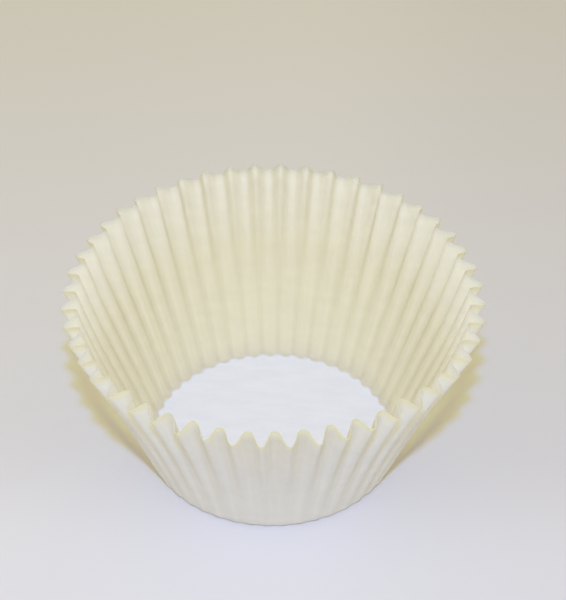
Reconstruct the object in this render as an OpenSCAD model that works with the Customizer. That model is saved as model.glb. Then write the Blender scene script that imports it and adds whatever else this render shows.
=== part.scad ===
// Cupcake liner: one round sheet of thin greaseproof paper, pressed into a fluted cup.
// Millimetres, +Z up. The origin is the middle of the base, on the surface that the liner stands on.

/* [Base] */
// Diameter of the base, measured to the corner that base and wall would make if it were sharp
base_d = 50; // [44:1:56]
// Radius of the rounded edge between base and wall
foot_r = 1.5; // [0.6:0.1:3]

/* [Wall] */
// Height of the rim above the base, halfway between its high and low points
wall_h = 38.8; // [28:0.2:46]
// Diameter of the rim, halfway between the ridges and the folds
rim_d = 79.5; // [68:0.5:88]
// Lean of the wall just above the foot, from upright, in degrees. The wall flares from there to the rim
foot_lean = 20.5; // [12:0.5:26]

/* [Flutes] */
// Number of flutes round the wall
flute_count = 48; // [36:4:60]
// Depth of a flute at the rim, from ridge to fold
rim_flute_depth = 3.2; // [1.6:0.1:4]
// Depth of a flute at the foot, from ridge to fold
foot_flute_depth = 0.2; // [0.1:0.1:1]
// How the flutes deepen from foot to rim: 1 is steady, more keeps them shallow for longer
flute_growth = 2.2; // [1:0.1:3]
// Fullness of the flutes: 0 is a plain wave, more makes ridges and folds rounder and their sides steeper
flute_fullness = 0.06; // [0:0.02:0.1]
// How much rounder the folds are than the ridges: at 0 both are alike
fold_roundness = 0.1; // [0:0.02:0.2]

/* [Paper] */
// Thickness of the paper
paper_t = 0.1; // [0.06:0.01:0.2]

/* [Hidden] */
paper_color = [0.94, 0.93, 0.89];

// Points across one flute, and rings of points up the foot and up the wall
flute_steps = 8;
foot_steps = 2;
wall_steps = 4;

around = flute_count * flute_steps;
step_angle = 360 / around;

// The foot turns the paper from flat to foot_lean. foot_run is how far from its corner the turn starts
foot_turn = 90 - foot_lean;
foot_run = foot_r * tan(foot_turn / 2);
foot_arc = foot_r * foot_turn * PI / 180;

// The middle of the paper runs half a thickness above the table
floor_z = paper_t / 2;
foot_corner = [base_d / 2, floor_z];
foot_center = foot_corner + [-foot_run, foot_r];

// The wall's curve: it leaves the foot along foot_lean and bends out to the rim
wall_start = foot_corner + foot_run * [sin(foot_lean), cos(foot_lean)];
wall_bend = [foot_corner.x + tan(foot_lean) * wall_h / 2, wall_h / 2];
wall_end = [rim_d / 2, wall_h];

foot_swing = foot_flute_depth / 2;
rim_swing = rim_flute_depth / 2;

// A station is a place on the paper's profile:
// [radius, height, direction of the profile, swing of the flutes, growth of the swing per mm]

// Stations round the foot, where share runs from 0 at the flat base to 1 at the wall
function foot_station(share) =
    let (turned = share * foot_turn)
    [
        foot_center.x + foot_r * sin(turned),
        foot_center.y - foot_r * cos(turned),
        turned,
        foot_swing * share ^ 2,
        2 * foot_swing * share / foot_arc
    ];

// Stations up the wall, where share runs from 0 at the foot to 1 at the rim
function wall_station(share) =
    let (
        place = (1 - share) ^ 2 * wall_start + 2 * share * (1 - share) * wall_bend + share ^ 2 * wall_end,
        travel = 2 * (1 - share) * (wall_bend - wall_start) + 2 * share * (wall_end - wall_bend),
        added_swing = rim_swing - foot_swing
    )
    [
        place.x,
        place.y,
        atan2(travel.y, travel.x),
        foot_swing + added_swing * share ^ flute_growth,
        added_swing * flute_growth * share ^ (flute_growth - 1) / norm(travel)
    ];

stations = [
    for (i = [0:foot_steps]) foot_station(i / foot_steps),
    for (i = [1:wall_steps]) wall_station(i / wall_steps)
];

// One point of the sheet. The flutes swing square to the profile, ridges outward: wave is where a
// point is between ridge (1) and fold (-1), and fall is how fast it goes from ridge to fold. side is
// 1 for the outer face of the paper and -1 for its inner face
function sheet_point(station, angle, side) =
    let (
        radius = station[0],
        along = [cos(station[2]), sin(station[2])],
        outward = [along.y, -along.x],
        phase = flute_count * angle,
        plain = [cos(phase), sin(phase)],
        full = flute_fullness * [cos(phase) - cos(3 * phase), sin(phase) - 3 * sin(3 * phase)],
        lopsided = fold_roundness * [cos(2 * phase) - 1, 2 * sin(2 * phase)],
        shape = plain + full + lopsided,
        wave = shape[0],
        fall = shape[1],
        middle = [radius, station[1]] + station[3] * wave * outward,
        tilt = outward - station[4] * wave * along,
        twist = station[3] * flute_count * fall / radius,
        face = side * paper_t / 2 / norm([tilt.x, twist, tilt.y]),
        r = middle.x + face * tilt.x,
        shift = face * twist,
        z = middle.y + face * tilt.y
    )
    [r * cos(angle) - shift * sin(angle), r * sin(angle) + shift * cos(angle), z];

function face_points(side) = [
    for (station = stations, i = [0:around - 1]) sheet_point(station, i * step_angle, side)
];

// Triangles between ring and ring + 1 of one face, cut so that each flute mirrors about its ridge
function band(first, ring, flip) = [
    for (i = [0:around - 1])
        let (
            next = (i + 1) % around,
            a = first + ring * around + i,
            b = first + ring * around + next,
            c = a + around,
            d = b + around,
            falling = i % flute_steps < flute_steps / 2,
            pair = falling ? [[a, c, b], [b, c, d]] : [[a, c, d], [a, d, b]]
        )
        for (corners = pair) flip ? [corners[2], corners[1], corners[0]] : corners
];

// The sheet as one closed solid: both faces of the paper, joined at the rim
module fluted_sheet() {
    top = len(stations) - 1;
    inner = len(stations) * around;
    rim_edge = [
        for (i = [0:around - 1])
            let (
                a = top * around + i,
                b = top * around + (i + 1) % around
            )
            each [[a, a + inner, b], [b, a + inner, b + inner]]
    ];
    faces = [
        [for (i = [0:around - 1]) i],
        for (ring = [0:top - 1]) each band(0, ring, false),
        each rim_edge,
        for (ring = [0:top - 1]) each band(inner, ring, true),
        [for (i = [around - 1:-1:0]) inner + i]
    ];
    polyhedron(concat(face_points(1), face_points(-1)), faces);
}

module liner() {
    color(paper_color) fluted_sheet();
}

liner();
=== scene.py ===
import math

import bmesh
import bpy
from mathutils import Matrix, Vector, noise


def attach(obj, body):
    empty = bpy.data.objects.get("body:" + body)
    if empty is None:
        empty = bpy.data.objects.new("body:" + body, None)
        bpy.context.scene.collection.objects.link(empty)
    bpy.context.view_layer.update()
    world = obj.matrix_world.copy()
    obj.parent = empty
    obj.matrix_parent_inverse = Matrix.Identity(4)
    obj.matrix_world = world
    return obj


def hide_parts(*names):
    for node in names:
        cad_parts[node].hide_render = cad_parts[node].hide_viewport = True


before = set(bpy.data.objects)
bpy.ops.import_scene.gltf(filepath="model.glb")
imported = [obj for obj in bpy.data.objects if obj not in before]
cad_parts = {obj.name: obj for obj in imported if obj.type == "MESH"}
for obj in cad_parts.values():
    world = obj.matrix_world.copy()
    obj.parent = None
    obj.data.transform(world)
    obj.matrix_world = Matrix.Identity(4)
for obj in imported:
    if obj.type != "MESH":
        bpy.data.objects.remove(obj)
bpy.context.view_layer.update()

mm = 0.001


# Camera and colour

cameraView = {
    "lens": 150.0,
    "sensor": 36.0,
    "elevation": 41.6,          # degrees above the table
    "azimuth": 2.56,            # degrees round the cup, so that its flutes fall where the photo has them
    "distance": 510.4 * mm,     # from the lens to the foot, along the view
    "aimAbove": 28.0 * mm,      # how far above the foot the view's centre passes
    "aimRight": 2.17 * mm,
    "clipStart": 10 * mm,
}


def addCamera(view):
    elevation = math.radians(view["elevation"])
    azimuth = math.radians(view["azimuth"])
    right = Vector((math.cos(azimuth), math.sin(azimuth), 0))
    forward = Vector((-math.sin(azimuth), math.cos(azimuth), 0))
    ahead = forward * math.cos(elevation) - Vector((0, 0, math.sin(elevation)))
    above = right.cross(ahead)
    data = bpy.data.cameras.new("camera")
    data.lens = view["lens"]
    data.sensor_width = view["sensor"]
    data.clip_start = view["clipStart"]
    camera = bpy.data.objects.new("camera", data)
    camera.location = above * view["aimAbove"] + right * view["aimRight"] - ahead * view["distance"]
    camera.rotation_euler = ahead.to_track_quat("-Z", "Y").to_euler()
    bpy.context.scene.collection.objects.link(camera)
    bpy.context.scene.camera = camera


addCamera(cameraView)
bpy.context.scene.view_settings.view_transform = "Standard"
print("camera placed")


# Nodes that more than one material uses

def newMaterial(name):
    material = bpy.data.materials.new(name)
    material.use_nodes = True
    nodes = material.node_tree.nodes
    nodes.clear()
    output = nodes.new("ShaderNodeOutputMaterial")
    return material, nodes, material.node_tree.links, output


def addAttribute(nodes, name):
    attribute = nodes.new("ShaderNodeAttribute")
    attribute.attribute_name = name
    return attribute.outputs["Fac"]


def addNoise(nodes, links, vector, size, detail):
    # size is the width of one blotch in metres
    grain = nodes.new("ShaderNodeTexNoise")
    grain.inputs["Scale"].default_value = 1 / size
    grain.inputs["Detail"].default_value = detail
    links.new(vector, grain.inputs["Vector"])
    return grain.outputs["Fac"]


def addRange(nodes, links, value, start, end, full=1.0):
    # 0 before start, then up to full at end and past it. end may lie below start
    span = nodes.new("ShaderNodeMapRange")
    span.inputs["From Min"].default_value = start
    span.inputs["From Max"].default_value = end
    span.inputs["To Max"].default_value = full
    links.new(value, span.inputs["Value"])
    return span.outputs["Result"]


def addRamp(nodes, links, factor, stops, interpolation="LINEAR"):
    # stops are (place, colour), from low to high
    ramp = nodes.new("ShaderNodeValToRGB")
    ramp.color_ramp.interpolation = interpolation
    for element, (place, colour) in zip(ramp.color_ramp.elements, (stops[0], stops[-1])):
        element.position = place
        element.color = (*colour, 1)
    for place, colour in stops[1:-1]:
        ramp.color_ramp.elements.new(place).color = (*colour, 1)
    links.new(factor, ramp.inputs["Fac"])
    return ramp.outputs["Color"]


def addTint(nodes, links, colour, tint, share=None):
    # Multiplies colour by tint, a socket or a plain colour, wholly or by the share that a socket gives
    mix = nodes.new("ShaderNodeMix")
    mix.data_type = "RGBA"
    mix.blend_type = "MULTIPLY"
    mix.inputs["Factor"].default_value = 1.0
    if share:
        links.new(share, mix.inputs["Factor"])
    links.new(colour, mix.inputs["A"])
    if isinstance(tint, tuple):
        mix.inputs["B"].default_value = (*tint, 1)
    else:
        links.new(tint, mix.inputs["B"])
    return mix.outputs["Result"]


def addBump(nodes, links, height, depth, normal=None):
    bump = nodes.new("ShaderNodeBump")
    bump.inputs["Strength"].default_value = 1.0
    bump.inputs["Distance"].default_value = depth
    links.new(height, bump.inputs["Height"])
    if normal:
        links.new(normal, bump.inputs["Normal"])
    return bump.outputs["Normal"]


def addBlend(nodes, links, share, first, second):
    blend = nodes.new("ShaderNodeMixShader")
    links.new(share, blend.inputs["Fac"])
    links.new(first, blend.inputs[1])
    links.new(second, blend.inputs[2])
    return blend.outputs["Shader"]


# The paper, whose climb attribute is -1 to 0 on the flat base, 0 at the foot and 1 at the rim, and whose
# crease attribute, -1 at the bottom of a fold and 1 at the top of a ridge, places the painted hollow shade

paper = {
    "base": (0.81, 0.82, 0.88),             # inside, on the flat base, bluish white: painted cool light on the floor
    # The inner wall's cream is partly the paper's own tone and partly painted warm light bounced and passed
    # through inside the cup
    "inner": (0.85, 0.805, 0.67),
    # Paler near the rim, inside and out: painted light
    "innerBrimLight": (0.925, 0.905, 0.89),
    "innerEdge": (0.84, 0.84, 0.81),        # close to the rim
    "low": (0.87, 0.9, 1.0),                # outside, at the foot, paler and bluer: painted light thrown up from the table
    # The outer face is bluer than the paper, painted to cancel the warm light that falls on it
    "outer": (0.84, 0.87, 0.98),
    "outerBrimLight": (0.93, 0.95, 1.0),
    "outerEdge": (0.9, 0.86, 0.62),
    "cut": (0.91, 0.86, 0.62),              # the paper's thickness at the rim
    "innerSettled": 0.01,                   # climb from which a face has its wall's colour
    "outerSettled": 0.55,
    "brimStart": 0.6,                       # climb from which the wall gets paler, painted light towards the rim
    "brimFull": 0.95,
    "edgeStart": 0.985,
    "innerHollowShade": (0.79, 0.76, 0.7),       # painted shade, multiplying the others where the flutes are hollow on that face
    "outerHollowShade": (0.83, 0.805, 0.75),
    "innerCrease": (0, 1),                  # crease at which the painted hollow shade starts and is full
    "outerCrease": (-0.25, -1),
    "through": (0.99, 0.95, 0.8),           # light that each face of the wall spreads through it
    "glow": 0.39,                           # its share, from the climb glowFull up
    "glowFull": 0.01,
    "shade": (0.89, 0.82, 0.285),           # what each face lets through to the cup's own shadow
    "shadeStart": 0.02,                     # climb at which it starts to do so
    "shadeFull": 0.1,
    "roughness": 0.6,
    "specular": 0.3,
    "cloud": 2.2 * mm,                      # width of the faint blotches
    "cloudDetail": 3,
    "cloudRange": (0.35, 0.65),             # noise that gives the darkest and the lightest blotch
    "cloudContrast": 0.04,
    "streak": 3.5,                          # how many times longer than wide they are
    "fibre": 0.25 * mm,
    "fibreDetail": 4,
    "fibreDepth": 0.012 * mm,
    "cockle": 4 * mm,
    "cockleDetail": 2,
    "cockleDepth": 0.065 * mm,
}


def makePaper(name, stops, crease, hollowShade):
    material, nodes, links, output = newMaterial(name)
    place = nodes.new("ShaderNodeTexCoord").outputs["Object"]
    climb = addAttribute(nodes, "climb")
    grainwise = nodes.new("ShaderNodeMapping")
    grainwise.inputs["Scale"].default_value = (1 / paper["streak"], 1, 1)
    links.new(place, grainwise.inputs["Vector"])
    clouds = addNoise(nodes, links, grainwise.outputs["Vector"], paper["cloud"], paper["cloudDetail"])
    dark = 1 - paper["cloudContrast"]
    darkest, lightest = paper["cloudRange"]
    clouds = addRamp(nodes, links, clouds, [(darkest, (dark, dark, dark)), (lightest, (1, 1, 1))])
    # The colour by climb carries the painted light of the foot, the wall and the brim
    colour = addTint(nodes, links, addRamp(nodes, links, climb, stops), clouds)
    # Painted shade: darker and warmer where the flutes are hollow on this face
    hollowShadeShare = addRange(nodes, links, addAttribute(nodes, "crease"), *crease)
    colour = addTint(nodes, links, colour, hollowShade, hollowShadeShare)
    cockles = addNoise(nodes, links, place, paper["cockle"], paper["cockleDetail"])
    normal = addBump(nodes, links, cockles, paper["cockleDepth"])
    fibres = addNoise(nodes, links, place, paper["fibre"], paper["fibreDetail"])
    normal = addBump(nodes, links, fibres, paper["fibreDepth"], normal)
    surface = nodes.new("ShaderNodeBsdfPrincipled")
    surface.inputs["Roughness"].default_value = paper["roughness"]
    surface.inputs["Specular IOR Level"].default_value = paper["specular"]
    links.new(colour, surface.inputs["Base Color"])
    links.new(normal, surface.inputs["Normal"])
    glow = nodes.new("ShaderNodeBsdfTranslucent")
    glow.inputs["Color"].default_value = (*paper["through"], 1)
    links.new(normal, glow.inputs["Normal"])
    glowShare = addRange(nodes, links, climb, 0, paper["glowFull"], paper["glow"])
    sheet = addBlend(nodes, links, glowShare, surface.outputs["BSDF"], glow.outputs["BSDF"])
    shade = nodes.new("ShaderNodeBsdfTransparent")
    shade.inputs["Color"].default_value = (*paper["shade"], 1)
    passes = nodes.new("ShaderNodeMath")
    passes.operation = "MULTIPLY"
    links.new(nodes.new("ShaderNodeLightPath").outputs["Is Shadow Ray"], passes.inputs[0])
    links.new(addRange(nodes, links, climb, paper["shadeStart"], paper["shadeFull"]), passes.inputs[1])
    sheet = addBlend(nodes, links, passes.outputs["Value"], sheet, shade.outputs["BSDF"])
    links.new(sheet, output.inputs["Surface"])
    return material


def wallStops(foot, settled, wall, brimLight, edge):
    # From the foot's colour to the wall's, then paler up to the line along the rim; the foot's colour and
    # the paler brim are painted light
    return [(0.0, foot), (settled, wall), (paper["brimStart"], wall), (paper["brimFull"], brimLight),
            (paper["edgeStart"], edge), (1.0, edge)]


innerStops = wallStops(paper["base"], paper["innerSettled"], paper["inner"], paper["innerBrimLight"],
                       paper["innerEdge"])
outerStops = wallStops(paper["low"], paper["outerSettled"], paper["outer"], paper["outerBrimLight"],
                       paper["outerEdge"])
cutStops = [(0.0, paper["cut"]), (1.0, paper["cut"])]
innerPaper = makePaper("innerPaper", innerStops, paper["innerCrease"], paper["innerHollowShade"])
outerPaper = makePaper("outerPaper", outerStops, paper["outerCrease"], paper["outerHollowShade"])
rimPaper = makePaper("rimPaper", cutStops, paper["innerCrease"], paper["innerHollowShade"])
print("paper mixed")


# The liner, one pressed sheet of paper

liner = {
    "base": 50.0,               # across, to the corner that base and wall would make if it were sharp
    "footRadius": 1.5,
    "wallHeight": 38.8,
    "rim": 79.5,                # across, halfway between ridges and folds
    "footLean": 20.5,           # degrees from upright
    "flutes": 48,
    "rimDepth": 3.2,            # of a flute, ridge to fold
    "footDepth": 0.2,
    "growth": 2.6,              # 1 deepens the flutes steadily, more keeps them shallow for longer
    "paper": 0.1,
    "fullness": 0.06,           # 0 is a plain wave, more makes the flutes' sides steeper
    "foldRoundness": 0.1,       # how much rounder the folds are than the ridges
    "footCrease": 0.3,          # crease at the foot, as a share of the rim's; the crease places the painted hollow shade
    "footFade": 0.02,           # climb over which the crease comes in at the foot
    "rimFade": 0.08,            # and goes out at the rim
    "scallop": 0.014,           # climb by which the flat base's colour runs further out in a ridge
    "unevenDepth": 0.12,        # share by which the flutes' depth differs
    "depthSeed": 2.1,
    "unevenPlace": 0.03,        # how far a flute is out of place, in flutes
    "placeSeed": 7.3,
    "unevenPace": 10.0,         # more makes neighbours differ more
    "bulge": ((-180, -0.4), (-140, 0.0), (-60, 0.0), (-18, 0.45), (20, 0.0), (120, 0.1), (180, -0.4)),
    "pointsPerFlute": 16,
    "floorRings": 8,
    "footRings": 6,
    "wallRings": 24,
}


def linerProfile(size):
    # (radius, height, direction, swing of the flutes, climb) from the middle of the base to the rim
    lean = math.radians(size["footLean"])
    turn = math.pi / 2 - lean
    run = size["footRadius"] * math.tan(turn / 2)
    level = size["paper"] / 2
    corner = Vector((size["base"] / 2, level))
    center = corner + Vector((-run, size["footRadius"]))
    start = corner + run * Vector((math.sin(lean), math.cos(lean)))
    bend = Vector((corner.x + math.tan(lean) * size["wallHeight"] / 2, size["wallHeight"] / 2))
    end = Vector((size["rim"] / 2, size["wallHeight"]))
    footSwing = size["footDepth"] / 2
    rimSwing = size["rimDepth"] / 2
    arc = size["footRadius"] * turn
    footClimb = arc / (arc + (end - start).length)
    stations = []
    for i in range(size["floorRings"]):
        share = i / size["floorRings"]
        stations.append((center.x * share, level, 0.0, 0.0, share - 1))
    for i in range(size["footRings"] + 1):
        share = i / size["footRings"]
        stations.append((center.x + size["footRadius"] * math.sin(share * turn),
                         center.y - size["footRadius"] * math.cos(share * turn),
                         share * turn, footSwing * share ** 2, footClimb * share))
    for i in range(1, size["wallRings"] + 1):
        share = i / size["wallRings"]
        place = start * (1 - share) ** 2 + bend * 2 * share * (1 - share) + end * share ** 2
        travel = (bend - start) * (1 - share) + (end - bend) * share
        swing = footSwing + (rimSwing - footSwing) * share ** size["growth"]
        stations.append((place.x, place.y, math.atan2(travel.y, travel.x), swing,
                         footClimb + (1 - footClimb) * share))
    return stations


def unevenness(angle, pace, seed):
    # Differs from flute to flute round the cup, between about -1 and 1
    return 2 * noise.noise(Vector((pace * math.cos(angle), pace * math.sin(angle), seed)))


def between(angle, knots):
    # The value at an angle round the cup, eased from one (degrees, value) of knots to the next
    turn = math.degrees(angle)
    for (low, before), (high, after) in zip(knots, knots[1:]):
        if turn <= high:
            break
    share = (turn - low) / (high - low)
    return before + (after - before) * share * share * (3 - 2 * share)


def pressFlutes(vert, station, size, climbLayer, creaseLayer):
    radius, height, direction, swing, climb = station
    angle = math.atan2(vert.co.y, vert.co.x)
    outOfPlace = unevenness(angle, size["unevenPace"], size["placeSeed"])
    phase = size["flutes"] * angle + 2 * math.pi * size["unevenPlace"] * outOfPlace
    wave = (1 + size["fullness"]) * math.cos(phase) - size["fullness"] * math.cos(3 * phase)
    wave += size["foldRoundness"] * (math.cos(2 * phase) - 1)
    # The crease only places the painted shade in the flutes' hollows
    shown = size["footCrease"] + (1 - size["footCrease"]) * 2 * swing / size["rimDepth"]
    fade = min(1, max(climb, 0) / size["footFade"], (1 - climb) / size["rimFade"])
    vert[creaseLayer] = wave * shown * fade
    if climb > 0:
        vert[climbLayer] = climb - size["scallop"] * (1 + wave) / 2 * (1 - climb)
    swing *= 1 + size["unevenDepth"] * unevenness(angle, size["unevenPace"], size["depthSeed"])
    swing *= wave
    swing += max(climb, 0) * between(angle, size["bulge"])
    radius += swing * math.sin(direction)
    height -= swing * math.cos(direction)
    vert.co = Vector((radius * math.cos(angle), radius * math.sin(angle), height)) * mm


def makeLiner(size):
    stations = linerProfile(size)
    sheet = bmesh.new()
    ring = sheet.verts.layers.int.new("ring")
    climb = sheet.verts.layers.float.new("climb")
    crease = sheet.verts.layers.float.new("crease")
    chain = []
    for i, (radius, height, _, _, rise) in enumerate(stations):
        vert = sheet.verts.new((radius, 0, height))
        vert[ring] = i
        vert[climb] = rise
        if chain:
            sheet.edges.new((chain[-1], vert))
        chain.append(vert)
    bmesh.ops.spin(sheet, geom=sheet.verts[:] + sheet.edges[:], cent=(0, 0, 0), axis=(0, 0, 1),
                   dvec=(0, 0, 0), angle=2 * math.pi, steps=size["flutes"] * size["pointsPerFlute"],
                   use_merge=True)
    bmesh.ops.remove_doubles(sheet, verts=sheet.verts[:], dist=1e-5)
    for vert in sheet.verts:
        pressFlutes(vert, stations[vert[ring]], size, climb, crease)
    bmesh.ops.recalc_face_normals(sheet, faces=sheet.faces[:])
    mesh = bpy.data.meshes.new("liner")
    sheet.to_mesh(mesh)
    sheet.free()
    mesh.shade_smooth()
    piece = bpy.data.objects.new("linerSheet", mesh)
    bpy.context.scene.collection.objects.link(piece)
    for material in (outerPaper, innerPaper, rimPaper):
        mesh.materials.append(material)
    thickness = piece.modifiers.new("paper", "SOLIDIFY")
    thickness.thickness = size["paper"] * mm
    thickness.offset = 0
    thickness.use_quality_normals = True
    thickness.material_offset = 1
    thickness.material_offset_rim = 2
    return piece


linerSheet = makeLiner(liner)
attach(linerSheet, "root")
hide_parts("liner")
print("liner pressed:", len(linerSheet.data.vertices), "points")


# Table, light and backdrop

stage = {
    "width": 3.0,
    # Painted light and shade: the table is palest and bluest just before the cup, where the key falls
    # strongest, dimmer and yellower behind it, and painted darker towards the front
    "front": (0.65, 0.64, 0.665),
    "near": (0.745, 0.73, 0.755),
    "middle": (0.69, 0.672, 0.685),
    "far": (0.69, 0.66, 0.6),
    "frontAt": 0.25,                # places along the table, 0 at reach before the cup and 1 at reach behind
    "nearAt": 0.42,
    "middleAt": 0.5,
    "reach": 0.2,
    "left": (0.985, 0.985, 0.98),   # painted shade, multiplying the others to the left and, more, to the right
    "right": (0.935, 0.935, 0.945),
    "side": 0.06,                   # metres from the cup's middle to the full painted shade of the sides
    "roughness": 0.7,
    "specular": 0.2,
}


def addTable(size):
    table = bmesh.new()
    bmesh.ops.create_grid(table, x_segments=1, y_segments=1, size=size["width"] / 2)
    mesh = bpy.data.meshes.new("table")
    table.to_mesh(mesh)
    table.free()
    piece = bpy.data.objects.new("table", mesh)
    bpy.context.scene.collection.objects.link(piece)
    material, nodes, links, output = newMaterial("tabletop")
    split = nodes.new("ShaderNodeSeparateXYZ")
    links.new(nodes.new("ShaderNodeTexCoord").outputs["Object"], split.inputs["Vector"])
    # Painted light falling off along the table
    along = addRange(nodes, links, split.outputs["Y"], -size["reach"], size["reach"])
    stops = [(size["frontAt"], size["front"]), (size["nearAt"], size["near"]),
             (size["middleAt"], size["middle"]), (1.0, size["far"])]
    colour = addRamp(nodes, links, along, stops, "EASE")
    # Painted shade falling off to the sides
    across = addRange(nodes, links, split.outputs["X"], -size["side"], size["side"])
    stops = [(0.0, size["left"]), (0.5, (1, 1, 1)), (1.0, size["right"])]
    sideShade = addRamp(nodes, links, across, stops, "EASE")
    surface = nodes.new("ShaderNodeBsdfPrincipled")
    surface.inputs["Roughness"].default_value = size["roughness"]
    surface.inputs["Specular IOR Level"].default_value = size["specular"]
    links.new(addTint(nodes, links, colour, sideShade), surface.inputs["Base Color"])
    links.new(surface.outputs["BSDF"], output.inputs["Surface"])
    mesh.materials.append(material)


addTable(stage)

light = {
    "keyPower": 1.7,                # watts
    "keyColour": (0.53, 0.65, 1.0),
    "keyElevation": 53.5,           # degrees above the table, over the camera's side
    "keyDistance": 0.53,
    "keySize": 0.022,
    "roomStrength": 0.74,
    "roomColour": (1.0, 0.92, 0.66),
    "backdrop": (0.66, 0.63, 0.56),
}


def addLight(size, view):
    elevation = math.radians(size["keyElevation"])
    azimuth = math.radians(view["azimuth"])
    toward = Vector((math.sin(azimuth) * math.cos(elevation), -math.cos(azimuth) * math.cos(elevation),
                     math.sin(elevation)))
    data = bpy.data.lights.new("key", "AREA")
    data.shape = "DISK"
    data.size = size["keySize"]
    data.energy = size["keyPower"]
    data.color = size["keyColour"]
    lamp = bpy.data.objects.new("key", data)
    lamp.location = toward * size["keyDistance"]
    lamp.rotation_euler = toward.to_track_quat("Z", "Y").to_euler()
    bpy.context.scene.collection.objects.link(lamp)
    world = bpy.data.worlds.new("room")
    bpy.context.scene.world = world
    world.use_nodes = True
    nodes = world.node_tree.nodes
    links = world.node_tree.links
    nodes.clear()
    room = nodes.new("ShaderNodeBackground")
    room.inputs["Color"].default_value = (*size["roomColour"], 1)
    room.inputs["Strength"].default_value = size["roomStrength"]
    backdrop = nodes.new("ShaderNodeBackground")
    backdrop.inputs["Color"].default_value = (*size["backdrop"], 1)
    seen = nodes.new("ShaderNodeLightPath").outputs["Is Camera Ray"]
    output = nodes.new("ShaderNodeOutputWorld")
    links.new(addBlend(nodes, links, seen, room.outputs["Background"], backdrop.outputs["Background"]),
              output.inputs["Surface"])


addLight(light, cameraView)
print("stage set")
